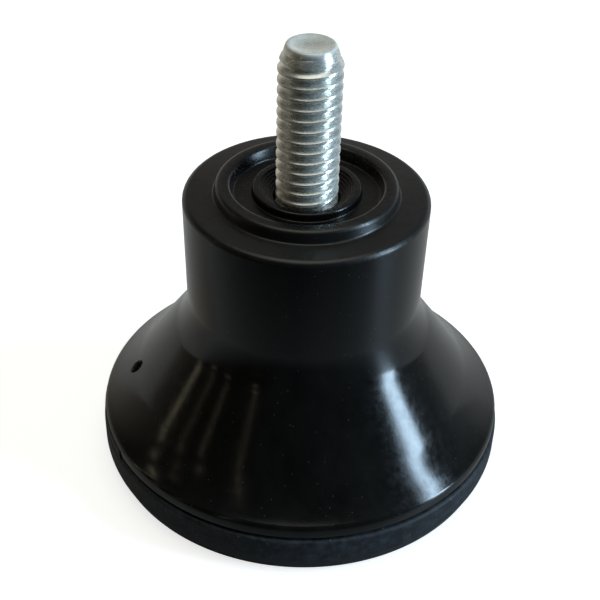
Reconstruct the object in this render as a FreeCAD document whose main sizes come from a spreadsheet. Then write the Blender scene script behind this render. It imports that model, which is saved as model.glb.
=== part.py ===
import FreeCAD, Part
import math
import os

import Sketcher

# Furniture leveling foot: a moulded bell turned by hand, with a screw locked inside it.
# Origin: centre of the face that rests on the floor. +Z is up, along the screw. Millimetres.

SIZES = {
    # rubber tread, the ring that shows below the bell and the pad under it
    "tread_radius": 27.5,
    "tread_foot_radius": 26.5,
    "tread_taper_height": 2.4,
    "tread_inner_radius": 24.8,
    "tread_floor": 2.6,
    "seam_height": 5.8,
    "groove_depth": 0.8,
    "groove_width": 1.6,
    "groove_first_radius": 8.0,
    "groove_step": 5.5,
    "groove_count": 3,
    # bell, outside, from the seam up
    "rim_radius": 27.2,
    "rim_height": 7.7,
    "cone_foot_radius": 24.2,
    "cone_foot_height": 9.8,
    "neck_foot_radius": 15.35,
    "neck_foot_height": 22.15,
    "neck_radius": 15.6,
    "body_height": 39.5,
    # top face: bearing ring, and a boss whose mouth steps down to the bore
    "ring_outer_radius": 11.7,
    "ring_crest_outer": 11.4,
    "ring_crest_inner": 9.65,
    "ring_height": 1.55,
    "ring_inner_radius": 9.2,
    "boss_radius": 6.85,
    "boss_height": 1.05,
    "mouth_radius": 5.9,
    "mouth_second_radius": 5.35,
    "mouth_third_radius": 4.8,
    "mouth_step": 0.45,
    "bore_radius": 4.25,
    # bell, inside
    "skirt_inner_radius": 23.2,
    "skirt_inner_height": 8.0,
    "cavity_radius": 12.8,
    "cavity_foot_height": 21.8,
    "roof_thickness": 3.2,
    "tube_radius": 9.4,
    "rib_thickness": 2.0,
    "rib_count": 6,
    "rib_overlap": 0.3,
    "rib_tube_height": 17.5,
    "rib_foot_radius": 21.9,
    "rib_foot_height": 10.2,
    # screw, 5/16 inch with 18 threads to the inch and a hexagon head
    "thread_radius": 3.97,
    "shank_radius": 3.6,
    "shank_step_height": 40.6,
    "tip_radius": 3.0,
    "tip_bevel": 2.5,
    "tip_height": 59.5,
    "dish_depth": 0.3,
    "dish_radius": 2.5,
    "head_seat_height": 21.4,
    "head_height": 5.3,
    "head_overlap": 0.5,
    "head_flats": 12.7,
    "pocket_flats": 12.9,
    # steel disc under the head, and the base plate that carries it
    "disc_radius": 9.0,
    "disc_thickness": 1.6,
    "plate_radius": 24.6,
    "spigot_radius": 23.0,
    "spigot_inner_radius": 20.6,
    "spigot_height": 7.6,
    "hub_radius": 9.4,
    "gusset_thickness": 2.2,
    "gusset_count": 6,
    "gusset_top_height": 12.8,
    "gusset_foot_height": 6.4,
    # edge roundings
    "neck_top_round": 0.9,
    "neck_foot_round": 9.0,
    "flare_round": 4.0,
    "rim_round": 0.8,
    "ring_outer_round": 0.6,
    "ring_inner_round": 0.5,
    "boss_round": 0.3,
    "tread_top_round": 0.5,
    "plate_round": 0.4,
}

doc = FreeCAD.newDocument("leveling_foot")
sheet = doc.addObject("Spreadsheet::Sheet", "Sizes")
for row, (name, value) in enumerate(SIZES.items(), 1):
    sheet.set("A%d" % row, name)
    sheet.set("B%d" % row, str(value))
    sheet.setAlias("B%d" % row, name)
doc.recompute()


def size(term):
    """The value of a signed sum of sheet cells, such as "body_height - roof_thickness"."""
    total = 0.0
    sign = 1.0
    for word in term.split():
        if word in "+-":
            sign = 1.0 if word == "+" else -1.0
        else:
            total += sign * sheet.get(word)
    return total


def cells(term):
    """The same sum written as an expression on the sheet."""
    return " ".join(word if word in "+-" else "Sizes." + word for word in term.split())


def new_body(label):
    body = doc.addObject("PartDesign::Body", label)
    body.Label = label
    return body


def origin_feature(body, role):
    return next(item for item in body.Origin.OriginFeatures if item.Role == role)


def new_sketch(body, name, role, height=None):
    """A sketch on one of the body's own planes, lifted along its normal by the height."""
    sketch = body.newObject("Sketcher::SketchObject", name)
    sketch.AttachmentSupport = [(origin_feature(body, role), "")]
    sketch.MapMode = "FlatFace"
    if height:
        sketch.setExpression("AttachmentOffset.Base.z", cells(height))
    return sketch


def pin_point(sketch, line, name, term, kind, axis):
    """Hold a line's start at a distance from the sketch's origin, or on its axis."""
    if term == "0":
        sketch.addConstraint(Sketcher.Constraint("PointOnObject", line, 1, axis))
        return
    index = sketch.addConstraint(Sketcher.Constraint(kind, -1, 1, line, 1, size(term)))
    sketch.renameConstraint(index, name)
    sketch.setExpression("Constraints." + name, cells(term))


def draw_outline(sketch, points):
    """A closed outline of straight lines; each point is a radius and a height."""
    places = []
    for across, up in points:
        x = 0.0 if across == "0" else size(across)
        y = 0.0 if up == "0" else size(up)
        places.append(FreeCAD.Vector(x, y, 0))
    for start, end in zip(places, places[1:] + places[:1]):
        sketch.addGeometry(Part.LineSegment(start, end), False)
    for line, (across, up) in enumerate(points):
        follower = (line + 1) % len(points)
        sketch.addConstraint(Sketcher.Constraint("Coincident", line, 2, follower, 1))
        pin_point(sketch, line, "across%d" % line, across, "DistanceX", -2)
        pin_point(sketch, line, "up%d" % line, up, "DistanceY", -1)


def revolve(body, name, points):
    """Turn an outline of radii and heights about the Z axis."""
    sketch = new_sketch(body, name + "_outline", "XZ_Plane")
    draw_outline(sketch, points)
    solid = body.newObject("PartDesign::Revolution", name)
    solid.Profile = sketch
    solid.ReferenceAxis = (sketch, ["V_Axis"])
    solid.Angle = 360
    sketch.Visibility = False
    doc.recompute()
    return solid


def draw_hexagon(sketch, flats):
    """A regular hexagon about the origin, two corners on the horizontal axis."""
    corner = size(flats) / math.sqrt(3.0)
    spots = []
    for turn in range(6):
        angle = math.radians(60 * turn)
        spots.append(FreeCAD.Vector(corner * math.cos(angle), corner * math.sin(angle), 0))
    for start, end in zip(spots, spots[1:] + spots[:1]):
        sketch.addGeometry(Part.LineSegment(start, end), False)
    centre = FreeCAD.Vector(0, 0, 0)
    ring = sketch.addGeometry(Part.Circle(centre, FreeCAD.Vector(0, 0, 1), corner), True)
    sketch.addConstraint(Sketcher.Constraint("Coincident", ring, 3, -1, 1))
    for line in range(6):
        follower = (line + 1) % 6
        sketch.addConstraint(Sketcher.Constraint("Coincident", line, 2, follower, 1))
        sketch.addConstraint(Sketcher.Constraint("PointOnObject", line, 1, ring))
        if line:
            sketch.addConstraint(Sketcher.Constraint("Equal", 0, line))
    sketch.addConstraint(Sketcher.Constraint("PointOnObject", 0, 1, -1))
    index = sketch.addConstraint(Sketcher.Constraint("Radius", ring, corner))
    sketch.renameConstraint(index, "corner_radius")
    sketch.setExpression("Constraints.corner_radius", cells(flats) + " / sqrt(3)")


def pad_hexagon(body, name, kind, flats, height, length):
    """Add (Pad) or cut (Pocket) an upright hexagon that rises from the given height."""
    sketch = new_sketch(body, name + "_outline", "XY_Plane", height)
    draw_hexagon(sketch, flats)
    solid = body.newObject("PartDesign::" + kind, name)
    solid.Profile = sketch
    solid.setExpression("Length", cells(length))
    solid.Reversed = kind == "Pocket"
    sketch.Visibility = False
    doc.recompute()
    return solid


def round_rings(body, name, base, radius, *rings):
    """Round the circular edges that have these radii and heights."""
    edges = []
    for number, edge in enumerate(base.Shape.Edges, 1):
        if not isinstance(edge.Curve, Part.Circle):
            continue
        for across, up in rings:
            near_radius = abs(edge.Curve.Radius - size(across)) < 1e-4
            near_height = abs(edge.Curve.Center.z - size(up)) < 1e-4
            if near_radius and near_height:
                edges.append("Edge%d" % number)
    if len(edges) != len(rings):
        raise ValueError("%s found %d of %d edges" % (name, len(edges), len(rings)))
    fillet = body.newObject("PartDesign::Fillet", name)
    fillet.Base = (base, edges)
    fillet.setExpression("Radius", cells(radius))
    doc.recompute()
    return fillet


def web_pattern(body, name, points, thickness, count, start_angle):
    """Upright webs round the axis: one web padded both ways from its middle, then repeated."""
    sketch = new_sketch(body, name + "_outline", "XZ_Plane")
    sketch.AttachmentOffset = FreeCAD.Placement(
        FreeCAD.Vector(0, 0, 0), FreeCAD.Rotation(FreeCAD.Vector(0, 1, 0), start_angle)
    )
    draw_outline(sketch, points)
    web = body.newObject("PartDesign::Pad", name)
    web.Profile = sketch
    web.Midplane = True
    web.setExpression("Length", cells(thickness))
    sketch.Visibility = False
    doc.recompute()
    pattern = body.newObject("PartDesign::PolarPattern", name + "_pattern")
    pattern.Originals = [web]
    pattern.Axis = (origin_feature(body, "Z_Axis"), [""])
    pattern.Angle = 360
    pattern.setExpression("Occurrences", cells(count))
    body.Tip = pattern
    doc.recompute()
    return pattern


def build_bell():
    body = new_body("bell_housing")
    seat = "head_seat_height - head_height"
    roof = "body_height - roof_thickness"
    ring_top = "body_height + ring_height"
    boss_top = "body_height + boss_height"
    first_step = boss_top + " - mouth_step"
    second_step = first_step + " - mouth_step"
    third_step = second_step + " - mouth_step"
    wall = revolve(body, "bell_wall", [
        ("skirt_inner_radius", "seam_height"),
        ("rim_radius", "seam_height"),
        ("rim_radius", "rim_height"),
        ("cone_foot_radius", "cone_foot_height"),
        ("neck_foot_radius", "neck_foot_height"),
        ("neck_radius", "body_height"),
        ("ring_outer_radius", "body_height"),
        ("ring_crest_outer", ring_top),
        ("ring_crest_inner", ring_top),
        ("ring_inner_radius", "body_height"),
        ("boss_radius", "body_height"),
        ("boss_radius", boss_top),
        ("mouth_radius", boss_top),
        ("mouth_radius", first_step),
        ("mouth_second_radius", first_step),
        ("mouth_second_radius", second_step),
        ("mouth_third_radius", second_step),
        ("mouth_third_radius", third_step),
        ("bore_radius", third_step),
        ("bore_radius", seat),
        ("tube_radius", seat),
        ("tube_radius", roof),
        ("cavity_radius", roof),
        ("cavity_radius", "cavity_foot_height"),
        ("skirt_inner_radius", "skirt_inner_height"),
    ])
    solid = round_rings(body, "neck_foot_fillet", wall, "neck_foot_round",
                        ("neck_foot_radius", "neck_foot_height"))
    solid = round_rings(body, "flare_fillet", solid, "flare_round",
                        ("cone_foot_radius", "cone_foot_height"))
    solid = round_rings(body, "neck_top_fillet", solid, "neck_top_round",
                        ("neck_radius", "body_height"))
    solid = round_rings(body, "rim_fillet", solid, "rim_round",
                        ("rim_radius", "rim_height"))
    solid = round_rings(body, "ring_outer_fillet", solid, "ring_outer_round",
                        ("ring_crest_outer", ring_top))
    solid = round_rings(body, "ring_inner_fillet", solid, "ring_inner_round",
                        ("ring_crest_inner", ring_top))
    solid = round_rings(body, "boss_fillet", solid, "boss_round",
                        ("boss_radius", boss_top))
    pad_hexagon(body, "head_pocket", "Pocket", "pocket_flats", seat, "head_height")
    web_pattern(body, "bell_rib", [
        ("tube_radius - rib_overlap", "rib_tube_height"),
        ("rib_foot_radius", "rib_foot_height"),
        ("cavity_radius + rib_overlap", "cavity_foot_height"),
        ("cavity_radius + rib_overlap", roof + " + rib_overlap"),
        ("tube_radius - rib_overlap", roof + " + rib_overlap"),
    ], "rib_thickness", "rib_count", 0)
    return body


def build_screw():
    body = new_body("threaded_stud")
    revolve(body, "shaft", [
        ("0", "head_seat_height - head_overlap"),
        ("shank_radius", "head_seat_height - head_overlap"),
        ("shank_radius", "shank_step_height"),
        ("thread_radius", "shank_step_height"),
        ("thread_radius", "tip_height - tip_bevel"),
        ("tip_radius", "tip_height"),
        ("dish_radius", "tip_height"),
        ("0", "tip_height - dish_depth"),
    ])
    pad_hexagon(body, "hexagon_head", "Pad", "head_flats",
                "head_seat_height - head_height", "head_height")
    return body


def build_disc():
    disc = doc.addObject("Part::Cylinder", "thrust_disc")
    disc.Label = "thrust_disc"
    disc.setExpression("Radius", cells("disc_radius"))
    disc.setExpression("Height", cells("disc_thickness"))
    disc.setExpression(
        "Placement.Base.z", cells("head_seat_height - head_height - disc_thickness")
    )
    return disc


def build_plate():
    body = new_body("base_plate")
    hub_top = "head_seat_height - head_height - disc_thickness"
    plate = revolve(body, "plate", [
        ("0", "tread_floor"),
        ("plate_radius", "tread_floor"),
        ("plate_radius", "seam_height"),
        ("spigot_radius", "seam_height"),
        ("spigot_radius", "spigot_height"),
        ("spigot_inner_radius", "spigot_height"),
        ("spigot_inner_radius", "seam_height"),
        ("hub_radius", "seam_height"),
        ("hub_radius", hub_top),
        ("0", hub_top),
    ])
    round_rings(body, "spigot_fillet", plate, "plate_round", ("spigot_radius", "spigot_height"))
    half_step = 180.0 / sheet.get("gusset_count")
    web_pattern(body, "gusset", [
        ("hub_radius - rib_overlap", "seam_height - rib_overlap"),
        ("spigot_inner_radius + rib_overlap", "seam_height - rib_overlap"),
        ("spigot_inner_radius + rib_overlap", "gusset_foot_height"),
        ("hub_radius - rib_overlap", "gusset_top_height"),
    ], "gusset_thickness", "gusset_count", half_step)
    return body


def build_tread():
    body = new_body("rubber_tread")
    outline = [
        ("0", "tread_floor"),
        ("0", "0"),
    ]
    edge = "groove_first_radius"
    for _ in range(int(sheet.get("groove_count"))):
        outline += [
            (edge, "0"),
            (edge, "groove_depth"),
            (edge + " + groove_width", "groove_depth"),
            (edge + " + groove_width", "0"),
        ]
        edge += " + groove_step"
    outline += [
        ("tread_foot_radius", "0"),
        ("tread_radius", "tread_taper_height"),
        ("tread_radius", "seam_height"),
        ("tread_inner_radius", "seam_height"),
        ("tread_inner_radius", "tread_floor"),
    ]
    solid = revolve(body, "tread", outline)
    round_rings(body, "tread_top_fillet", solid, "tread_top_round",
                ("tread_radius", "seam_height"))
    return body


build_bell()
build_screw()
build_disc()
build_plate()
build_tread()
doc.recompute()

for item in doc.Objects:
    if "Invalid" in item.State or "Error" in item.State:
        raise ValueError("%s failed: %s" % (item.Name, item.State))

NODES = ["bell_housing", "threaded_stud", "thrust_disc", "base_plate", "rubber_tread"]
for label in NODES:
    shape = doc.getObjectsByLabel(label)[0].Shape
    if shape.isNull() or not shape.isValid() or len(shape.Solids) != 1:
        raise ValueError(label + " is not one valid solid")
    print("%-14s %9.1f mm3" % (label, shape.Volume))

os.makedirs("parts", exist_ok=True)
for label in NODES:
    doc.getObjectsByLabel(label)[0].Shape.exportStep("parts/%s.step" % label)
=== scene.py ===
import math

import bpy
from mathutils import Matrix, Vector


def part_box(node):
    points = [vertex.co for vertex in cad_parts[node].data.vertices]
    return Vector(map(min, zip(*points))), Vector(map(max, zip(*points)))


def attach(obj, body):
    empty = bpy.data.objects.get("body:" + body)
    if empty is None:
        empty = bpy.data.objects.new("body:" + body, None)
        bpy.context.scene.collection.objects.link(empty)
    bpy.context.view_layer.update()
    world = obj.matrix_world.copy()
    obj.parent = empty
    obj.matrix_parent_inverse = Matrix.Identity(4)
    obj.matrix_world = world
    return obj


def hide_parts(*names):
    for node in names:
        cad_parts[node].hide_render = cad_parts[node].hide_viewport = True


# Furniture leveling foot: moulded bell, zinc screw, rubber tread. Lengths below are in mm,
# turned into metres by mm. +Z is up along the screw, the floor is z = 0, the camera looks along +Y.

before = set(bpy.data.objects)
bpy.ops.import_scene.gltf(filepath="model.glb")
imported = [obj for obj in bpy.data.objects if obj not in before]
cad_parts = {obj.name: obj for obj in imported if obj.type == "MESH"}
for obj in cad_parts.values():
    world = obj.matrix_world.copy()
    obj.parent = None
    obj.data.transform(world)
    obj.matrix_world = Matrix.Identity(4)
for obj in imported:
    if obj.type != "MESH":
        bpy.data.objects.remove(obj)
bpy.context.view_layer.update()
mm = 0.001

bellLow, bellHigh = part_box("bell_housing")
studLow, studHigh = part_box("threaded_stud")
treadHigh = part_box("rubber_tread")[1]


def deselectAll():
    if bpy.context.mode != "OBJECT":
        bpy.ops.object.mode_set(mode="OBJECT")
    bpy.ops.object.select_all(action="DESELECT")


def pick(piece):
    deselectAll()
    piece.select_set(True)
    bpy.context.view_layer.objects.active = piece


def selectVerts(piece, test):
    # in edit mode: select the vertices whose place passes the test, radius and place in mm
    bpy.ops.mesh.select_mode(type="VERT")
    bpy.ops.mesh.select_all(action="DESELECT")
    bpy.ops.object.mode_set(mode="OBJECT")
    count = 0
    for vert in piece.data.vertices:
        x, y, z = vert.co / mm
        vert.select = test(x, y, z)
        count += vert.select
    bpy.ops.object.mode_set(mode="EDIT")
    return count


def drawOutline(name, corners, closed=False):
    # corners: (radius, height, rounding) in mm. A plane is merged to one vertex, extruded from
    # corner to corner in the XZ plane, and each corner is bevelled to its rounding
    deselectAll()
    startX, startZ, _ = corners[0]
    bpy.ops.mesh.primitive_plane_add(size=mm, location=(startX * mm, 0, startZ * mm))
    piece = bpy.context.active_object
    piece.name = name
    piece.data.name = name
    bpy.ops.object.transform_apply(location=True, rotation=True, scale=True)
    bpy.ops.object.mode_set(mode="EDIT")
    bpy.ops.mesh.select_all(action="SELECT")
    bpy.ops.mesh.merge(type="CENTER")
    for here, there in zip(corners, corners[1:]):
        move = ((there[0] - here[0]) * mm, 0, (there[1] - here[1]) * mm)
        bpy.ops.mesh.extrude_vertices_move(TRANSFORM_OT_translate={"value": move})
    if closed:
        ends = (corners[0], corners[-1])
        selectVerts(piece, lambda x, y, z: any(math.hypot(x - e[0], z - e[1]) < 1e-3 for e in ends))
        bpy.ops.mesh.edge_face_add()
    for index, corner in enumerate(corners):
        if corner[2] > 0:
            after = corners[(index + 1) % len(corners)]
            roundCorner(piece, corners[index - 1], corner, after)
    return piece


def roundCorner(piece, before, corner, after):
    coming = math.atan2(corner[1] - before[1], corner[0] - before[0])
    going = math.atan2(after[1] - corner[1], after[0] - corner[0])
    turn = abs((going - coming + math.pi) % math.tau - math.pi)
    finest = 1.0 if corner[2] > 1 else 14  # degrees of turn in one segment
    segments = max(2, math.ceil(math.degrees(turn) / finest))
    picked = selectVerts(piece, lambda x, y, z: math.hypot(x - corner[0], z - corner[1]) < 1e-3)
    if picked != 1:
        raise ValueError("%s: %d vertices at the corner %s" % (piece.name, picked, corner))
    run = corner[2] * math.tan(turn / 2)
    bpy.ops.mesh.bevel(offset_type="OFFSET", offset=run * mm, segments=segments, affect="VERTICES")


def spinOutline(piece, steps):
    bpy.ops.mesh.select_all(action="SELECT")
    bpy.ops.mesh.spin(steps=steps, angle=math.tau, center=(0, 0, 0), axis=(0, 0, 1))
    bpy.ops.mesh.select_all(action="SELECT")
    bpy.ops.mesh.remove_doubles(threshold=1e-7)
    bpy.ops.mesh.normals_make_consistent(inside=False)
    bpy.ops.object.mode_set(mode="OBJECT")


def smoothByAngle(piece, degrees):
    pick(piece)
    bpy.ops.object.shade_smooth_by_angle(angle=math.radians(degrees))


def applyModifier(piece, modifier):
    pick(piece)
    bpy.ops.object.modifier_apply(modifier=modifier.name)


def finishPiece(piece, node):
    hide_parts(node)
    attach(piece, "root")


def newMaterial(name):
    material = bpy.data.materials.new(name)
    material.use_nodes = True
    nodes = material.node_tree.nodes
    nodes.clear()
    output = nodes.new("ShaderNodeOutputMaterial")
    shader = nodes.new("ShaderNodeBsdfPrincipled")
    material.node_tree.links.new(shader.outputs["BSDF"], output.inputs["Surface"])
    return material, shader


def addNode(tree, kind, **values):
    node = tree.nodes.new(kind)
    for name, value in values.items():
        setattr(node, name, value)
    return node


def setInputs(node, **values):
    for name, value in values.items():
        node.inputs[name.replace("_", " ")].default_value = value


def newGroup(name, sockets):
    tree = bpy.data.node_groups.new(name, "ShaderNodeTree")
    for label, direction, kind, value in sockets:
        socket = tree.interface.new_socket(name=label, in_out=direction, socket_type=kind)
        if direction == "INPUT" and value is not None:
            socket.default_value = value
    tree.nodes.new("NodeGroupInput")
    tree.nodes.new("NodeGroupOutput")
    return tree


def groupEnds(tree):
    start = next(node for node in tree.nodes if node.bl_idname == "NodeGroupInput")
    end = next(node for node in tree.nodes if node.bl_idname == "NodeGroupOutput")
    return start, end


def rampStops(node, stops):
    elements = node.color_ramp.elements
    while len(elements) < len(stops):
        elements.new(0.5)
    for element, (place, shade) in zip(elements, stops):
        element.position = place
        element.color = shade if len(shade) == 4 else (*shade, 1)


def grey(value):
    return (value, value, value, 1)


bellValues = {
    "skirtInner": 23.2,
    "gapRadius": 26.5,  # dark gap between the bell and the tread
    "gapHeight": 0.5,
    "rimHeight": 1.9,  # this and the next heights are above the seam
    "coneFootRadius": 24.2,
    "coneFootHeight": 4.0,
    "neckFootRadius": 15.35,
    "neckFootHeight": 16.35,
    "neckRadius": 15.6,
    "topHeight": 33.7,
    "ringOuter": 11.7,
    "ringCrestOuter": 11.4,
    "ringCrestInner": 9.65,
    "ringInner": 9.2,
    "bossRadius": 6.85,
    "bossHeight": 1.05,
    "mouthRadius": 5.9,
    "mouthDepth": 1.35,
    "mouthSteps": 5,
    "boreRadius": 4.25,
    "seatHeight": 10.3,
    "tubeRadius": 9.4,
    "roofThickness": 3.2,
    "cavityRadius": 12.8,
    "cavityFoot": 16.0,
    "skirtInnerHeight": 2.2,
    "steps": 320,
}


def bellCorners(v):
    seam = bellLow.z / mm
    rim = bellHigh.x / mm
    crest = bellHigh.z / mm
    top = seam + v["topHeight"]
    boss = top + v["bossHeight"]
    corners = [
        (v["skirtInner"], seam, 0),
        (v["gapRadius"], seam, 0),
        (v["gapRadius"], seam + v["gapHeight"], 0),
        (rim, seam + v["gapHeight"], 0.12),
        (rim, seam + v["rimHeight"], 0.8),
        (v["coneFootRadius"], seam + v["coneFootHeight"], 18.0),
        (v["neckFootRadius"], seam + v["neckFootHeight"], 9.0),
        (v["neckRadius"], top, 0.8),
        (v["ringOuter"], top, 0.3),
        (v["ringCrestOuter"], crest, 0.6),
        (v["ringCrestInner"], crest, 0.5),
        (v["ringInner"], top, 0.25),
        (v["bossRadius"], top, 0.2),
        (v["bossRadius"], boss, 0.3),
    ]
    wide = (v["mouthRadius"] - v["boreRadius"]) / v["mouthSteps"]
    deep = v["mouthDepth"] / v["mouthSteps"]
    for step in range(v["mouthSteps"]):
        across = v["mouthRadius"] - step * wide
        corners.append((across, boss - step * deep, 0.07))
        corners.append((across - 0.03, boss - (step + 1) * deep, 0.04))
    corners += [
        (v["boreRadius"], boss - v["mouthDepth"], 0.07),
        (v["boreRadius"], seam + v["seatHeight"], 0),
        (v["tubeRadius"], seam + v["seatHeight"], 0),
        (v["tubeRadius"], top - v["roofThickness"], 0),
        (v["cavityRadius"], top - v["roofThickness"], 0),
        (v["cavityRadius"], seam + v["cavityFoot"], 0),
        (v["skirtInner"], seam + v["skirtInnerHeight"], 0),
    ]
    return corners


nubValues = {
    "radius": 1.0,
    "stretch": (0.42, 0.6, 1.2),  # proud of the wall, along it, up it
    "lean": -36,
    "across": 22.85,  # from the axis
    "up": 11.9,
    "azimuth": -85.3,  # from the front, to the right
}


def buildNub(v):
    # a small gate mark left proud on the side of the cone
    turn = math.radians(v["azimuth"])
    deselectAll()
    bpy.ops.mesh.primitive_uv_sphere_add(
        segments=24, ring_count=14, radius=v["radius"] * mm,
        location=(v["across"] * math.sin(turn) * mm, -v["across"] * math.cos(turn) * mm, v["up"] * mm))
    nub = bpy.context.active_object
    nub.scale = v["stretch"]
    nub.rotation_euler = (0, math.radians(v["lean"]), turn - math.pi / 2)
    bpy.ops.object.transform_apply(location=True, rotation=True, scale=True)
    bpy.ops.object.mode_set(mode="EDIT")
    bpy.ops.mesh.select_all(action="SELECT")
    bpy.ops.transform.vertex_random(offset=0.04 * mm, seed=4)
    bpy.ops.object.mode_set(mode="OBJECT")
    return nub


def buildBell(v):
    piece = drawOutline("bell_shell", bellCorners(v), closed=True)
    spinOutline(piece, v["steps"])
    nub = buildNub(nubValues)
    pick(piece)
    nub.select_set(True)
    bpy.ops.object.join()
    smoothByAngle(piece, 40)
    finishPiece(piece, "bell_housing")
    return piece


bell = buildBell(bellValues)
print("bell built:", len(bell.data.polygons), "faces")


studValues = {
    "pitch": 1.411,
    "crestRadius": 3.96,
    "lipHeight": 0.1,  # from the middle of the crest to each lip
    "seamRadius": 3.86,  # bottom of the fine seam between the two lips
    "crestHalf": 0.19,
    "shoulderRadius": 3.9,
    "rootRadius": 3.2,
    "rootHalf": 0.6,
    "firstCrest": 55.70,  # height of one crest on the +X side
    "turnsBelow": 14,
    "turns": 19,
    "threadFoot": 36.8,
    "shankRadius": 3.3,
    "bevelFoot": 57.0,  # height where the bevelled tip reaches the full thread
    "headFlats": 12.7,
    "headHeight": 5.3,
    "edge": 0.2,  # bevel round the head and the foot of the shank
    "steps": 96,
    "tipRings": [  # radius, and depth below the end, from the rim over the edge into the dish
        (3.07, 0.3), (3.03, 0.17), (2.96, 0.07), (2.86, 0.015),
        (2.75, 0), (2.62, 0.01), (2.45, 0.05), (2.2, 0.12),
        (1.85, 0.2), (1.4, 0.27), (0.9, 0.32), (0.4, 0.34),
    ],
}


def tipRings(v):
    end = studHigh.z / mm
    return [(radius, end - depth) for radius, depth in v["tipRings"]]


def buildThread(v):
    rimRadius, rimHeight = tipRings(v)[0]
    crest = v["firstCrest"] - v["turnsBelow"] * v["pitch"]
    corners = [
        (v["rootRadius"] - 0.03, crest - v["pitch"] / 2, 0),
        (v["rootRadius"], crest - v["rootHalf"], 0.15),
        (v["shoulderRadius"], crest - v["crestHalf"], 0.12),
        (v["crestRadius"], crest - v["lipHeight"], 0.07),
        (v["seamRadius"], crest, 0),
        (v["crestRadius"], crest + v["lipHeight"], 0.07),
        (v["shoulderRadius"], crest + v["crestHalf"], 0.12),
        (v["rootRadius"], crest + v["rootHalf"], 0.15),
        (v["rootRadius"] - 0.03, crest + v["pitch"] / 2, 0),
    ]
    piece = drawOutline("stud_screw", corners)
    bpy.ops.object.mode_set(mode="OBJECT")
    screw = piece.modifiers.new("thread", "SCREW")
    screw.axis = "Z"
    screw.angle = math.tau
    screw.screw_offset = v["pitch"] * mm
    screw.iterations = v["turns"]
    screw.steps = v["steps"]
    screw.render_steps = v["steps"]
    screw.use_merge_vertices = False
    applyModifier(piece, screw)
    bpy.ops.object.mode_set(mode="EDIT")
    bpy.ops.mesh.select_all(action="SELECT")
    bpy.ops.mesh.remove_doubles(threshold=2e-7)
    # cut off level at the foot, and a little under the tip, which closeTip builds up
    bpy.ops.mesh.select_all(action="SELECT")
    bpy.ops.mesh.bisect(plane_co=(0, 0, v["threadFoot"] * mm), plane_no=(0, 0, 1),
                        use_fill=True, clear_inner=True, threshold=1e-7)
    bpy.ops.mesh.select_all(action="SELECT")
    bpy.ops.mesh.bisect(plane_co=(0, 0, rimHeight * mm), plane_no=(0, 0, 1),
                        clear_outer=True, threshold=1e-7)
    bpy.ops.object.mode_set(mode="OBJECT")
    # the bevelled tip: nothing stands outside the cone
    foot = v["bevelFoot"]
    slope = (v["crestRadius"] - rimRadius) / (rimHeight - foot)
    for vert in piece.data.vertices:
        over = max(0, vert.co.z / mm - foot)
        limit = (v["crestRadius"] - slope * over) * mm
        radius = math.hypot(vert.co.x, vert.co.y)
        if radius > limit:
            vert.co.x *= limit / radius
            vert.co.y *= limit / radius
    closeTip(piece, tipRings(v))
    return piece


def closeTip(piece, rings):
    bpy.ops.object.mode_set(mode="EDIT")
    selectVerts(piece, lambda x, y, z: z > rings[0][1] - 1e-3)
    for here, there in zip(rings, rings[1:]):
        move = (0, 0, (there[1] - here[1]) * mm)
        bpy.ops.mesh.extrude_edges_move(TRANSFORM_OT_translate={"value": move})
        shrink = there[0] / here[0]
        bpy.ops.transform.resize(value=(shrink, shrink, 1), center_override=(0, 0, there[1] * mm))
    bpy.ops.mesh.merge(type="CENTER")
    bpy.ops.mesh.select_all(action="SELECT")
    bpy.ops.mesh.remove_doubles(threshold=1e-7)
    bpy.ops.mesh.normals_make_consistent(inside=False)
    bpy.ops.object.mode_set(mode="OBJECT")


def buildStud(v):
    piece = buildThread(v)
    # plain shank down to the head, inside the bore
    deselectAll()
    headTop = studLow.z / mm + v["headHeight"]
    shankLength = v["threadFoot"] + 0.4 - headTop + 0.5
    bpy.ops.mesh.primitive_cylinder_add(
        vertices=32, radius=v["shankRadius"] * mm, depth=shankLength * mm,
        location=(0, 0, (headTop - 0.5 + shankLength / 2) * mm))
    shank = bpy.context.active_object
    bpy.ops.object.transform_apply(location=True, rotation=True, scale=True)
    deselectAll()
    corner = v["headFlats"] / math.sqrt(3)
    bpy.ops.mesh.primitive_cylinder_add(
        vertices=6, radius=corner * mm, depth=v["headHeight"] * mm,
        location=(0, 0, (headTop - v["headHeight"] / 2) * mm), rotation=(0, 0, math.radians(30)))
    head = bpy.context.active_object
    bpy.ops.object.transform_apply(location=True, rotation=True, scale=True)
    for part in (shank, head):
        pick(part)
        bpy.ops.object.mode_set(mode="EDIT")
        bpy.ops.mesh.select_all(action="SELECT")
        bpy.ops.mesh.bevel(offset=v["edge"] * mm, segments=2, affect="EDGES")
        bpy.ops.object.mode_set(mode="OBJECT")
    pick(piece)
    shank.select_set(True)
    head.select_set(True)
    bpy.context.view_layer.objects.active = piece
    bpy.ops.object.join()
    smoothByAngle(piece, 42)
    finishPiece(piece, "threaded_stud")
    return piece


stud = buildStud(studValues)
print("screw built:", len(stud.data.polygons), "faces")


treadValues = {
    "footRadius": 26.5,
    "taperHeight": 2.4,
    "innerRadius": 24.8,
    "floorThickness": 2.6,
    "grooveDepth": 0.8,
    "grooveWidth": 1.6,
    "grooveFirst": 8.0,
    "grooveStep": 5.5,
    "grooveCount": 3,
    "steps": 320,
}


filmValues = {
    "foot": 5.5,
    "height": 6.75,
    "inner": 27.18,
    "outer": 27.36,
    "start": -60,  # azimuth of the front end, from the front, to the right
    "sweep": 46,  # degrees round to the left from there
    "steps": 92,
    "endDrop": 0.95,  # how far the front end is cut down
}


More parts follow.
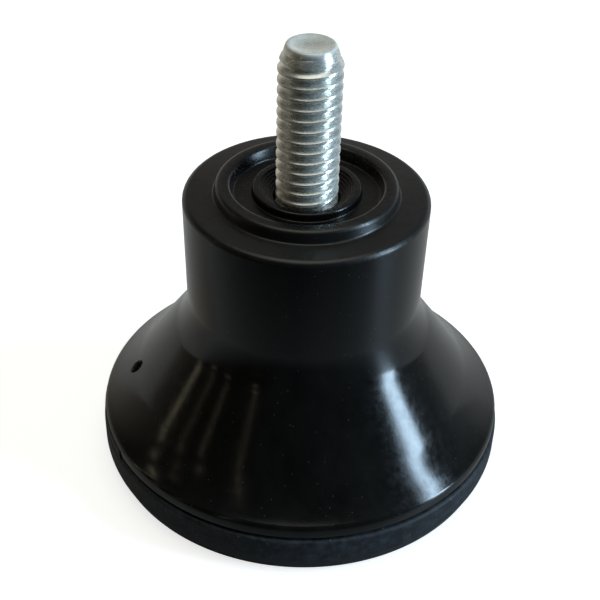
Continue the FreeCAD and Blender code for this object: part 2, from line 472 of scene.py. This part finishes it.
def buildFilm(v):
    # a thin skin of rubber pressed up over the rim on the left side
    corners = [
        (v["inner"], v["foot"], 0),
        (v["outer"], v["foot"], 0),
        (v["outer"], v["height"], 0.06),
        (v["inner"], v["height"] + 0.05, 0),
    ]
    piece = drawOutline("tread_film", corners, closed=True)
    bpy.ops.mesh.select_all(action="SELECT")
    bpy.ops.mesh.edge_face_add()
    bpy.ops.mesh.spin(steps=v["steps"], angle=math.radians(v["sweep"]),
                      center=(0, 0, 0), axis=(0, 0, 1))
    bpy.ops.mesh.select_all(action="SELECT")
    bpy.ops.mesh.remove_doubles(threshold=1e-7)
    bpy.ops.mesh.normals_make_consistent(inside=False)
    bpy.ops.object.mode_set(mode="OBJECT")
    turn = math.radians(v["start"] - 90)
    piece.rotation_euler = (0, 0, turn)
    bpy.ops.object.transform_apply(location=True, rotation=True, scale=True)
    nearEnd = 0.4 * math.radians(v["sweep"]) / v["steps"]
    bpy.ops.object.mode_set(mode="EDIT")
    selectVerts(piece, lambda x, y, z: z > v["height"] - 0.2 and abs(
        (math.atan2(y, x) - turn + math.pi) % math.tau - math.pi) < nearEnd)
    bpy.ops.transform.translate(value=(0, 0, -v["endDrop"] * mm))
    bpy.ops.object.mode_set(mode="OBJECT")
    return piece


def buildTread(v):
    outer = treadHigh.x / mm
    seam = treadHigh.z / mm
    corners = [(0, v["floorThickness"], 0), (0, 0, 0)]
    for number in range(v["grooveCount"]):
        start = v["grooveFirst"] + number * v["grooveStep"]
        corners += [
            (start, 0, 0),
            (start, v["grooveDepth"], 0),
            (start + v["grooveWidth"], v["grooveDepth"], 0),
            (start + v["grooveWidth"], 0, 0),
        ]
    corners += [
        (v["footRadius"], 0, 0.6),
        (outer, v["taperHeight"], 2.5),
        (outer, seam, 0.5),
        (v["innerRadius"], seam, 0.2),
        (v["innerRadius"], v["floorThickness"], 0),
    ]
    piece = drawOutline("tread_band", corners, closed=True)
    # the edge along the axis is not part of the skin
    selectVerts(piece, lambda x, y, z: x < 1e-3)
    bpy.ops.mesh.delete(type="EDGE_FACE")
    spinOutline(piece, v["steps"])
    film = buildFilm(filmValues)
    pick(piece)
    film.select_set(True)
    bpy.ops.object.join()
    smoothByAngle(piece, 40)
    finishPiece(piece, "rubber_tread")
    return piece


tread = buildTread(treadValues)
print("tread built:", len(tread.data.polygons), "faces")


def buildSpecks():
    # small separate spots: dust and grains, as a mask from 0 to 1
    tree = newGroup("dust specks", [
        ("Vector", "INPUT", "NodeSocketVector", None),
        ("Size", "INPUT", "NodeSocketFloat", 0.4),
        ("Amount", "INPUT", "NodeSocketFloat", 0.5),
        ("Mask", "OUTPUT", "NodeSocketFloat", None),
    ])
    start, end = groupEnds(tree)
    link = tree.links.new
    scale = addNode(tree, "ShaderNodeMath", operation="DIVIDE")
    scale.inputs[0].default_value = 1000
    cells = addNode(tree, "ShaderNodeTexVoronoi", feature="F1")
    near = addNode(tree, "ShaderNodeMapRange")
    setInputs(near, From_Min=0.22, From_Max=0.06)
    chance = addNode(tree, "ShaderNodeSeparateColor")
    keep = addNode(tree, "ShaderNodeMath", operation="LESS_THAN")
    both = addNode(tree, "ShaderNodeMath", operation="MULTIPLY")
    link(start.outputs["Size"], scale.inputs[1])
    link(start.outputs["Vector"], cells.inputs["Vector"])
    link(scale.outputs[0], cells.inputs["Scale"])
    link(cells.outputs["Distance"], near.inputs["Value"])
    link(cells.outputs["Color"], chance.inputs["Color"])
    link(chance.outputs["Red"], keep.inputs[0])
    link(start.outputs["Amount"], keep.inputs[1])
    link(near.outputs["Result"], both.inputs[0])
    link(keep.outputs[0], both.inputs[1])
    link(both.outputs[0], end.inputs["Mask"])
    return tree


def buildScratches():
    # fine lines in many directions, as a mask from 0 to 1
    tree = newGroup("fine scratches", [
        ("Vector", "INPUT", "NodeSocketVector", None),
        ("Spread", "INPUT", "NodeSocketFloat", 300.0),
        ("Amount", "INPUT", "NodeSocketFloat", 0.5),
        ("Mask", "OUTPUT", "NodeSocketFloat", None),
    ])
    start, end = groupEnds(tree)
    link = tree.links.new
    bend = addNode(tree, "ShaderNodeTexNoise")
    setInputs(bend, Scale=90.0, Detail=1.0)
    shift = addNode(tree, "ShaderNodeVectorMath", operation="MULTIPLY_ADD")
    shift.inputs[1].default_value = (0.012, 0.012, 0.012)
    cells = addNode(tree, "ShaderNodeTexVoronoi", feature="DISTANCE_TO_EDGE")
    thin = addNode(tree, "ShaderNodeMapRange")
    setInputs(thin, From_Min=0.02, From_Max=0.0)
    patch = addNode(tree, "ShaderNodeTexNoise")
    setInputs(patch, Scale=160.0, Detail=2.0)
    choose = addNode(tree, "ShaderNodeMapRange")
    setInputs(choose, From_Min=0.62, From_Max=0.7)
    both = addNode(tree, "ShaderNodeMath", operation="MULTIPLY")
    level = addNode(tree, "ShaderNodeMath", operation="MULTIPLY")
    link(start.outputs["Vector"], bend.inputs["Vector"])
    link(bend.outputs["Color"], shift.inputs[0])
    link(start.outputs["Vector"], shift.inputs[2])
    link(shift.outputs["Vector"], cells.inputs["Vector"])
    link(start.outputs["Spread"], cells.inputs["Scale"])
    link(cells.outputs["Distance"], thin.inputs["Value"])
    link(start.outputs["Vector"], patch.inputs["Vector"])
    link(patch.outputs["Fac"], choose.inputs["Value"])
    link(thin.outputs["Result"], both.inputs[0])
    link(choose.outputs["Result"], both.inputs[1])
    link(both.outputs[0], level.inputs[0])
    link(start.outputs["Amount"], level.inputs[1])
    link(level.outputs[0], end.inputs["Mask"])
    return tree


specks = buildSpecks()
scratches = buildScratches()


def addEffect(tree, group, vector, **values):
    node = addNode(tree, "ShaderNodeGroup", node_tree=group)
    for name, value in values.items():
        node.inputs[name].default_value = value
    tree.links.new(vector, node.inputs["Vector"])
    return node


plasticValues = {
    "dark": (0.006, 0.006, 0.0055),
    "light": (0.011, 0.0108, 0.010),
    "topFace": (0.009, 0.0088, 0.008),
    # painted shade: inside the ring the recess, boss and mouth are coloured darker than the plain
    # plastic
    "innerPaintedShade": (0.003, 0.003, 0.003),
    "innerRadius": 11.0,
    "dust": (0.09, 0.085, 0.078),
    "roughLow": 0.09,
    "roughHigh": 0.22,
    "topRough": 0.17,  # added on the rubbed top face
    "topHeight": 38.8,
    "innerRubbed": 0.75,  # share of that inside the ring
    "flowScale": 260.0,
    "flowStretch": 0.12,
    "cloudScale": 900.0,
    "waveScale": 120.0,
    "waviness": 0.02,
    "skinScale": 4200.0,
    "skinDepth": 0.005,
    "speckSize": 0.4,
    "speckAmount": 0.07,
    "scratchSpread": 240.0,
    "scratchAmount": 0.12,
}


def plasticMaterial(v):
    material, shader = newMaterial("bell plastic, black moulded")
    tree = material.node_tree
    link = tree.links.new
    shader.inputs["IOR"].default_value = 1.5
    place = addNode(tree, "ShaderNodeTexCoord")
    spot = place.outputs["Object"]
    stretch = addNode(tree, "ShaderNodeMapping")
    stretch.inputs["Scale"].default_value = (1, 1, v["flowStretch"])
    flow = addNode(tree, "ShaderNodeTexNoise")
    setInputs(flow, Scale=v["flowScale"], Detail=4.0, Roughness=0.55)
    link(spot, stretch.inputs["Vector"])
    link(stretch.outputs["Vector"], flow.inputs["Vector"])
    tone = addNode(tree, "ShaderNodeValToRGB")
    rampStops(tone, [(0.35, v["dark"]), (0.7, v["light"])])
    link(flow.outputs["Fac"], tone.inputs["Fac"])
    axes = addNode(tree, "ShaderNodeSeparateXYZ")
    link(spot, axes.inputs["Vector"])
    onTop = addNode(tree, "ShaderNodeMapRange")
    setInputs(onTop, From_Min=(v["topHeight"] - 0.1) * mm, From_Max=v["topHeight"] * mm)
    link(axes.outputs["Z"], onTop.inputs["Value"])
    level = addNode(tree, "ShaderNodeVectorMath", operation="MULTIPLY")
    level.inputs[1].default_value = (1, 1, 0)
    across = addNode(tree, "ShaderNodeVectorMath", operation="LENGTH")
    outer = addNode(tree, "ShaderNodeMapRange")
    setInputs(outer, From_Min=(v["innerRadius"] - 0.8) * mm, From_Max=v["innerRadius"] * mm)
    link(spot, level.inputs[0])
    link(level.outputs["Vector"], across.inputs[0])
    link(across.outputs["Value"], outer.inputs["Value"])
    # the top face colour, and inside the ring a darker colour that is painted shade in the recess
    faceToneAndShade = addNode(tree, "ShaderNodeMix", data_type="RGBA")
    faceToneAndShade.inputs[6].default_value = (*v["innerPaintedShade"], 1)
    faceToneAndShade.inputs[7].default_value = (*v["topFace"], 1)
    link(outer.outputs["Result"], faceToneAndShade.inputs[0])
    topTone = addNode(tree, "ShaderNodeMix", data_type="RGBA")
    link(faceToneAndShade.outputs[2], topTone.inputs[7])
    link(onTop.outputs["Result"], topTone.inputs[0])
    link(tone.outputs["Color"], topTone.inputs[6])
    dust = addEffect(tree, specks, spot, Size=v["speckSize"], Amount=v["speckAmount"])
    tint = addNode(tree, "ShaderNodeMix", data_type="RGBA")
    tint.inputs[7].default_value = (*v["dust"], 1)
    link(dust.outputs["Mask"], tint.inputs[0])
    link(topTone.outputs[2], tint.inputs[6])
    link(tint.outputs[2], shader.inputs["Base Color"])
    cloud = addNode(tree, "ShaderNodeTexNoise")
    setInputs(cloud, Scale=v["cloudScale"], Detail=9.0, Roughness=0.8)
    link(spot, cloud.inputs["Vector"])
    rough = addNode(tree, "ShaderNodeMapRange")
    setInputs(rough, From_Min=0.35, From_Max=0.7, To_Min=v["roughLow"], To_Max=v["roughHigh"])
    link(cloud.outputs["Fac"], rough.inputs["Value"])
    marks = addEffect(tree, scratches, spot, Spread=v["scratchSpread"], Amount=v["scratchAmount"])
    topRough = addNode(tree, "ShaderNodeMath", operation="MULTIPLY_ADD")
    topRough.inputs[1].default_value = v["topRough"]
    rubbed = addNode(tree, "ShaderNodeMath", operation="MULTIPLY")
    share = addNode(tree, "ShaderNodeMapRange")
    setInputs(share, To_Min=v["innerRubbed"])
    link(outer.outputs["Result"], share.inputs["Value"])
    link(onTop.outputs["Result"], rubbed.inputs[0])
    link(share.outputs["Result"], rubbed.inputs[1])
    link(rubbed.outputs[0], topRough.inputs[0])
    link(rough.outputs["Result"], topRough.inputs[2])
    rougher = addNode(tree, "ShaderNodeMath", operation="ADD", use_clamp=True)
    link(topRough.outputs[0], rougher.inputs[0])
    link(marks.outputs["Mask"], rougher.inputs[1])
    link(rougher.outputs[0], shader.inputs["Roughness"])
    # slow waves of the moulded wall, and a very fine skin
    wave = addNode(tree, "ShaderNodeTexNoise")
    setInputs(wave, Scale=v["waveScale"], Detail=1.0)
    link(spot, wave.inputs["Vector"])
    skin = addNode(tree, "ShaderNodeTexNoise")
    setInputs(skin, Scale=v["skinScale"], Detail=4.0)
    link(spot, skin.inputs["Vector"])
    bumpWave = addNode(tree, "ShaderNodeBump")
    setInputs(bumpWave, Strength=1.0, Distance=v["waviness"] * mm)
    bumpSkin = addNode(tree, "ShaderNodeBump")
    setInputs(bumpSkin, Strength=1.0, Distance=v["skinDepth"] * mm)
    link(wave.outputs["Fac"], bumpWave.inputs["Height"])
    link(skin.outputs["Fac"], bumpSkin.inputs["Height"])
    link(bumpWave.outputs["Normal"], bumpSkin.inputs["Normal"])
    link(bumpSkin.outputs["Normal"], shader.inputs["Normal"])
    return material


zincValues = {
    "clean": (0.93, 0.93, 0.88),
    "dull": (0.80, 0.80, 0.72),
    "roughLow": 0.2,
    "roughHigh": 0.36,
    "threadMetal": 0.65,
    "tipMetal": 0.1,
    "tipHeight": 59.05,  # above this is the cut end, duller than the thread
    "patchScale": 900.0,
    "lineScale": 9000.0,
    "lineSquash": 0.15,
    "lineDepth": 0.0015,
}


def zincMaterial(v):
    material, shader = newMaterial("zinc plated steel")
    tree = material.node_tree
    link = tree.links.new
    place = addNode(tree, "ShaderNodeTexCoord")
    spot = place.outputs["Object"]
    axes = addNode(tree, "ShaderNodeSeparateXYZ")
    metal = addNode(tree, "ShaderNodeMapRange")
    setInputs(metal, From_Min=v["tipHeight"] * mm, From_Max=(v["tipHeight"] + 0.3) * mm,
              To_Min=v["threadMetal"], To_Max=v["tipMetal"])
    link(spot, axes.inputs["Vector"])
    link(axes.outputs["Z"], metal.inputs["Value"])
    link(metal.outputs["Result"], shader.inputs["Metallic"])
    patch = addNode(tree, "ShaderNodeTexNoise")
    setInputs(patch, Scale=v["patchScale"], Detail=6.0, Roughness=0.65)
    link(spot, patch.inputs["Vector"])
    tone = addNode(tree, "ShaderNodeValToRGB")
    rampStops(tone, [(0.35, v["dull"]), (0.6, v["clean"])])
    link(patch.outputs["Fac"], tone.inputs["Fac"])
    link(tone.outputs["Color"], shader.inputs["Base Color"])
    # rolling marks run nearly level round the thread
    squash = addNode(tree, "ShaderNodeMapping")
    squash.inputs["Scale"].default_value = (v["lineSquash"], v["lineSquash"], 1)
    lines = addNode(tree, "ShaderNodeTexNoise")
    setInputs(lines, Scale=v["lineScale"], Detail=3.0)
    link(spot, squash.inputs["Vector"])
    link(squash.outputs["Vector"], lines.inputs["Vector"])
    rough = addNode(tree, "ShaderNodeMapRange")
    setInputs(rough, From_Min=0.3, From_Max=0.7, To_Min=v["roughLow"], To_Max=v["roughHigh"])
    link(lines.outputs["Fac"], rough.inputs["Value"])
    link(rough.outputs["Result"], shader.inputs["Roughness"])
    bump = addNode(tree, "ShaderNodeBump")
    setInputs(bump, Strength=0.35, Distance=v["lineDepth"] * mm)
    link(lines.outputs["Fac"], bump.inputs["Height"])
    link(bump.outputs["Normal"], shader.inputs["Normal"])
    return material


rubberValues = {
    "dark": (0.009, 0.011, 0.014),
    "light": (0.044, 0.054, 0.066),
    "dust": (0.20, 0.19, 0.175),
    "roughLow": 0.5,
    "roughHigh": 0.7,
    "mottleScale": 800.0,
    "grainScale": 3500.0,
    "grainDepth": 0.03,
    "speckSize": 0.6,
    "speckAmount": 0.1,
}


def rubberMaterial(v):
    material, shader = newMaterial("tread rubber, blue black")
    tree = material.node_tree
    link = tree.links.new
    shader.inputs["Specular IOR Level"].default_value = 0.4
    place = addNode(tree, "ShaderNodeTexCoord")
    spot = place.outputs["Object"]
    cloud = addNode(tree, "ShaderNodeTexNoise")
    setInputs(cloud, Scale=v["mottleScale"], Detail=8.0, Roughness=0.75)
    link(spot, cloud.inputs["Vector"])
    tone = addNode(tree, "ShaderNodeValToRGB")
    rampStops(tone, [(0.42, v["dark"]), (0.68, v["light"])])
    link(cloud.outputs["Fac"], tone.inputs["Fac"])
    dust = addEffect(tree, specks, spot, Size=v["speckSize"], Amount=v["speckAmount"])
    tint = addNode(tree, "ShaderNodeMix", data_type="RGBA")
    tint.inputs[7].default_value = (*v["dust"], 1)
    link(dust.outputs["Mask"], tint.inputs[0])
    link(tone.outputs["Color"], tint.inputs[6])
    link(tint.outputs[2], shader.inputs["Base Color"])
    rough = addNode(tree, "ShaderNodeMapRange")
    setInputs(rough, From_Min=0.3, From_Max=0.7, To_Min=v["roughLow"], To_Max=v["roughHigh"])
    link(cloud.outputs["Fac"], rough.inputs["Value"])
    link(rough.outputs["Result"], shader.inputs["Roughness"])
    grain = addNode(tree, "ShaderNodeTexNoise")
    setInputs(grain, Scale=v["grainScale"], Detail=3.0)
    link(spot, grain.inputs["Vector"])
    bump = addNode(tree, "ShaderNodeBump")
    setInputs(bump, Strength=0.8, Distance=v["grainDepth"] * mm)
    link(grain.outputs["Fac"], bump.inputs["Height"])
    link(bump.outputs["Normal"], shader.inputs["Normal"])
    return material


plastic = plasticMaterial(plasticValues)
zinc = zincMaterial(zincValues)
rubber = rubberMaterial(rubberValues)


def dress(piece, material):
    piece.data.materials.clear()
    piece.data.materials.append(material)


dress(bell, plastic)
dress(stud, zinc)
dress(tread, rubber)
for nodeName, material in (("thrust_disc", zinc), ("base_plate", plastic)):
    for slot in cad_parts[nodeName].material_slots:
        slot.material = material
print("materials set")


studioValues = {
    "floorSize": 8.0,
    "ceiling": 1.15,
    "cardDistance": 1.5,
    "shadeFrom": -0.10,  # the floor in front of this is darker, which only reflections show
    "shadeTo": 0.02,
    "frontGrey": 0.02,
    "backGrey": 0.42,
    "seenGrey": 0.8,  # how the floor looks to the camera
    "seenLift": 0.74,
    "backdrop": 0.95,
    "floorRough": 0.42,
    "floorGlow": 0.19,  # light of the floor behind and beside the object, in reflections only
}

# glowing cards seen only in reflections and by what they light. Each row is the height above
# the floor and the left and right edge as angles at the object, measured from the front
cards = {
    "studio_window": {
        "rows": [(-0.2, 72, 81), (16, 71.5, 80.5), (20, 70.5, 78.5), (25, 71, 77.5),
                 (30, 73, 80.5), (35, 76, 86), (42, 80.5, 89), (50, 83, 90)],
        "colour": (0.70, 0.97, 1.22),
        "strength": 18.0,
        "fade": 0,
    },
    "studio_window_edge": {
        "rows": [(-0.2, 62, 72), (16, 62, 71.5), (20, 64, 70.5), (25, 66, 71),
                 (30, 68, 73), (35, 71, 76)],
        "colour": (0.70, 0.97, 1.22),
        "strength": 13.0,
        "fade": 3,
    },
    "studio_door": {
        "rows": [(0, -91.5, -88.5), (42, -91.5, -88.5)],
        "colour": (1.15, 1.0, 0.72),
        "strength": 1.3,
        "fade": 0,
        "patches": 7.0,
    },
    "studio_shelf": {
        "rows": [(0, -77, -75), (36, -77, -75)],
        "colour": (1.15, 1.0, 0.72),
        "strength": 1.1,
        "fade": 0,
        "patches": 9.0,
    },
    "studio_shelf_far": {
        "rows": [(4, -62.5, -61), (34, -62.5, -61)],
        "colour": (1.15, 1.0, 0.72),
        "strength": 0.9,
        "fade": 0,
        "patches": 8.0,
    },
    "studio_post": {
        "rows": [(6, -38, -36), (50, -38, -36)],
        "colour": (1.15, 1.0, 0.72),
        "strength": 1.1,
        "fade": 0,
        "patches": 7.0,
    },
}


def buildFloor(v):
    deselectAll()
    bpy.ops.mesh.primitive_plane_add(size=v["floorSize"], location=(0, 0, -0.02 * mm))
    floor = bpy.context.active_object
    floor.name = "studio_floor"
    material, shader = newMaterial("studio floor, pale")
    tree = material.node_tree
    link = tree.links.new
    place = addNode(tree, "ShaderNodeTexCoord")
    axes = addNode(tree, "ShaderNodeSeparateXYZ")
    link(place.outputs["Object"], axes.inputs["Vector"])
    depth = addNode(tree, "ShaderNodeMapRange")
    depth.interpolation_type = "SMOOTHSTEP"
    setInputs(depth, From_Min=v["shadeFrom"], From_Max=v["shadeTo"],
              To_Min=v["frontGrey"], To_Max=v["backGrey"])
    link(axes.outputs["Y"], depth.inputs["Value"])
    link(depth.outputs["Result"], shader.inputs["Base Color"])
    shader.inputs["Roughness"].default_value = v["floorRough"]
    behind = addNode(tree, "ShaderNodeMapRange")
    behind.interpolation_type = "SMOOTHSTEP"
    setInputs(behind, From_Min=-0.05, From_Max=0.05, To_Max=v["floorGlow"])
    link(axes.outputs["Y"], behind.inputs["Value"])
    shader.inputs["Emission Color"].default_value = (1.0, 0.95, 0.88, 1)
    link(behind.outputs["Result"], shader.inputs["Emission Strength"])
    pale = addNode(tree, "ShaderNodeBsdfDiffuse")
    pale.inputs["Color"].default_value = grey(v["seenGrey"])
    lift = addNode(tree, "ShaderNodeEmission")
    setInputs(lift, Color=grey(1.0), Strength=v["seenLift"])
    both = addNode(tree, "ShaderNodeAddShader")
    link(pale.outputs["BSDF"], both.inputs[0])
    link(lift.outputs["Emission"], both.inputs[1])
    path = addNode(tree, "ShaderNodeLightPath")
    seen = addNode(tree, "ShaderNodeMixShader")
    link(path.outputs["Is Camera Ray"], seen.inputs["Fac"])
    link(shader.outputs["BSDF"], seen.inputs[1])
    link(both.outputs["Shader"], seen.inputs[2])
    output = next(node for node in tree.nodes if node.bl_idname == "ShaderNodeOutputMaterial")
    link(seen.outputs["Shader"], output.inputs["Surface"])
    dress(floor, material)


def glowMaterial(name, card):
    material = bpy.data.materials.new(name + " glow")
    material.use_nodes = True
    tree = material.node_tree
    tree.nodes.clear()
    link = tree.links.new
    output = addNode(tree, "ShaderNodeOutputMaterial")
    glow = addNode(tree, "ShaderNodeEmission")
    setInputs(glow, Color=(*card["colour"], 1), Strength=card["strength"])
    if card["fade"]:
        place = addNode(tree, "ShaderNodeTexCoord")
        axes = addNode(tree, "ShaderNodeSeparateXYZ")
        curve = addNode(tree, "ShaderNodeMath", operation="POWER")
        curve.inputs[1].default_value = card["fade"]
        level = addNode(tree, "ShaderNodeMath", operation="MULTIPLY")
        level.inputs[1].default_value = card["strength"]
        link(place.outputs["UV"], axes.inputs["Vector"])
        link(axes.outputs["X"], curve.inputs[0])
        link(curve.outputs[0], level.inputs[0])
        link(level.outputs[0], glow.inputs["Strength"])
    if card.get("patches"):
        place = addNode(tree, "ShaderNodeTexCoord")
        patchy = addNode(tree, "ShaderNodeTexNoise")
        setInputs(patchy, Scale=card["patches"], Detail=5.0, Roughness=0.7)
        level = addNode(tree, "ShaderNodeMapRange")
        setInputs(level, From_Min=0.45, From_Max=0.62, To_Max=1.6 * card["strength"])
        link(place.outputs["Object"], patchy.inputs["Vector"])
        link(patchy.outputs["Fac"], level.inputs["Value"])
        link(level.outputs["Result"], glow.inputs["Strength"])
    link(glow.outputs["Emission"], output.inputs["Surface"])
    return material


def buildCard(name, card, away):
    rows = card["rows"]
    deselectAll()
    bpy.ops.mesh.primitive_grid_add(x_subdivisions=1, y_subdivisions=len(rows) - 1, size=1)
    piece = bpy.context.active_object
    piece.name = name
    for vert in piece.data.vertices:
        row = round((vert.co.y + 0.5) * (len(rows) - 1))
        rise, left, right = rows[row]
        turn = math.radians(left if vert.co.x < 0 else right)
        vert.co = (away * math.sin(turn), -away * math.cos(turn), away * math.tan(math.radians(rise)))
    piece.visible_camera = False
    dress(piece, glowMaterial(name, card))


def buildWorld(v):
    world = bpy.data.worlds.new("studio room")
    bpy.context.scene.world = world
    world.use_nodes = True
    tree = world.node_tree
    tree.nodes.clear()
    link = tree.links.new
    output = addNode(tree, "ShaderNodeOutputWorld")
    room = addNode(tree, "ShaderNodeBackground")
    pale = addNode(tree, "ShaderNodeBackground")
    setInputs(pale, Color=grey(v["backdrop"]), Strength=1.0)
    place = addNode(tree, "ShaderNodeTexCoord")
    axes = addNode(tree, "ShaderNodeSeparateXYZ")
    link(place.outputs["Generated"], axes.inputs["Vector"])
    # bright behind, dark in front, a little light overhead
    lean = addNode(tree, "ShaderNodeMath", operation="MULTIPLY_ADD")
    lean.inputs[1].default_value = 0.35
    link(axes.outputs["Z"], lean.inputs[0])
    link(axes.outputs["Y"], lean.inputs[2])
    spread = addNode(tree, "ShaderNodeMapRange")
    setInputs(spread, From_Min=-0.4, From_Max=1.1)
    link(lean.outputs[0], spread.inputs["Value"])
    ramp = addNode(tree, "ShaderNodeValToRGB")
    rampStops(ramp, [
        (0.10, grey(0.011)),
        (0.27, grey(0.045)),
        (0.38, grey(0.08)),
        (0.50, grey(0.17)),
        (0.60, grey(0.25)),
        (0.73, grey(0.45)),
        (0.87, grey(0.8)),
        (1.0, grey(0.95)),
    ])
    link(spread.outputs["Result"], ramp.inputs["Fac"])
    height = addNode(tree, "ShaderNodeValToRGB")
    rampStops(height, [
        (0.0, grey(1.0)),
        (0.15, grey(0.9)),
        (0.28, grey(0.6)),
        (0.4, grey(0.2)),
        (0.5, grey(0.1)),
        (0.95, grey(0.5)),
    ])
    link(axes.outputs["Z"], height.inputs["Fac"])
    side = addNode(tree, "ShaderNodeMapRange")
    setInputs(side, From_Min=-0.8, From_Max=0.8)
    link(axes.outputs["X"], side.inputs["Value"])
    tint = addNode(tree, "ShaderNodeValToRGB")
    rampStops(tint, [(0.0, (0.92, 0.82, 0.68)), (0.5, (0.9, 0.87, 0.82)), (1.0, (0.92, 0.98, 1.06))])
    link(side.outputs["Result"], tint.inputs["Fac"])
    mixed = addNode(tree, "ShaderNodeMix", data_type="RGBA", blend_type="MULTIPLY")
    mixed.inputs[0].default_value = 1.0
    link(ramp.outputs["Color"], mixed.inputs[6])
    link(tint.outputs["Color"], mixed.inputs[7])
    # the ceiling
    ceiling = addNode(tree, "ShaderNodeMapRange")
    setInputs(ceiling, From_Min=0.85, From_Max=0.93, To_Max=v["ceiling"])
    link(axes.outputs["Z"], ceiling.inputs["Value"])
    lit = addNode(tree, "ShaderNodeVectorMath", operation="MULTIPLY_ADD")
    lit.inputs[1].default_value = (1.0, 1.0, 0.86)
    link(ceiling.outputs["Result"], lit.inputs[0])
    lower = addNode(tree, "ShaderNodeVectorMath", operation="MULTIPLY")
    link(mixed.outputs[2], lower.inputs[0])
    link(height.outputs["Color"], lower.inputs[1])
    link(lower.outputs["Vector"], lit.inputs[2])
    link(lit.outputs["Vector"], room.inputs["Color"])
    path = addNode(tree, "ShaderNodeLightPath")
    seen = addNode(tree, "ShaderNodeMixShader")
    link(path.outputs["Is Camera Ray"], seen.inputs["Fac"])
    link(room.outputs["Background"], seen.inputs[1])
    link(pale.outputs["Background"], seen.inputs[2])
    link(seen.outputs["Shader"], output.inputs["Surface"])


buildFloor(studioValues)
for cardName, card in cards.items():
    buildCard(cardName, card, studioValues["cardDistance"])
buildWorld(studioValues)
print("studio set")


cameraValues = {
    "place": (0.0, -126.93, 117.30),
    "aim": (-0.47, 0.0, 22.70),
    "roll": 1.64,
    "lens": 71.2,
}


def buildCamera(v):
    place = Vector(v["place"]) * mm
    look = (Vector(v["aim"]) * mm - place).normalized()
    level = look.cross(Vector((0, 0, 1))).normalized()
    right = Matrix.Rotation(-math.radians(v["roll"]), 3, look) @ level
    up = right.cross(look)
    data = bpy.data.cameras.new("studio camera")
    camera = bpy.data.objects.new("studio_camera", data)
    bpy.context.collection.objects.link(camera)
    data.lens = v["lens"]
    data.sensor_width = 36
    data.clip_start = 0.01
    turn = Matrix((right, up, -look)).transposed()
    camera.matrix_world = Matrix.Translation(place) @ turn.to_4x4()
    bpy.context.scene.camera = camera


buildCamera(cameraValues)
bpy.context.scene.view_settings.view_transform = "Standard"

deselectAll()
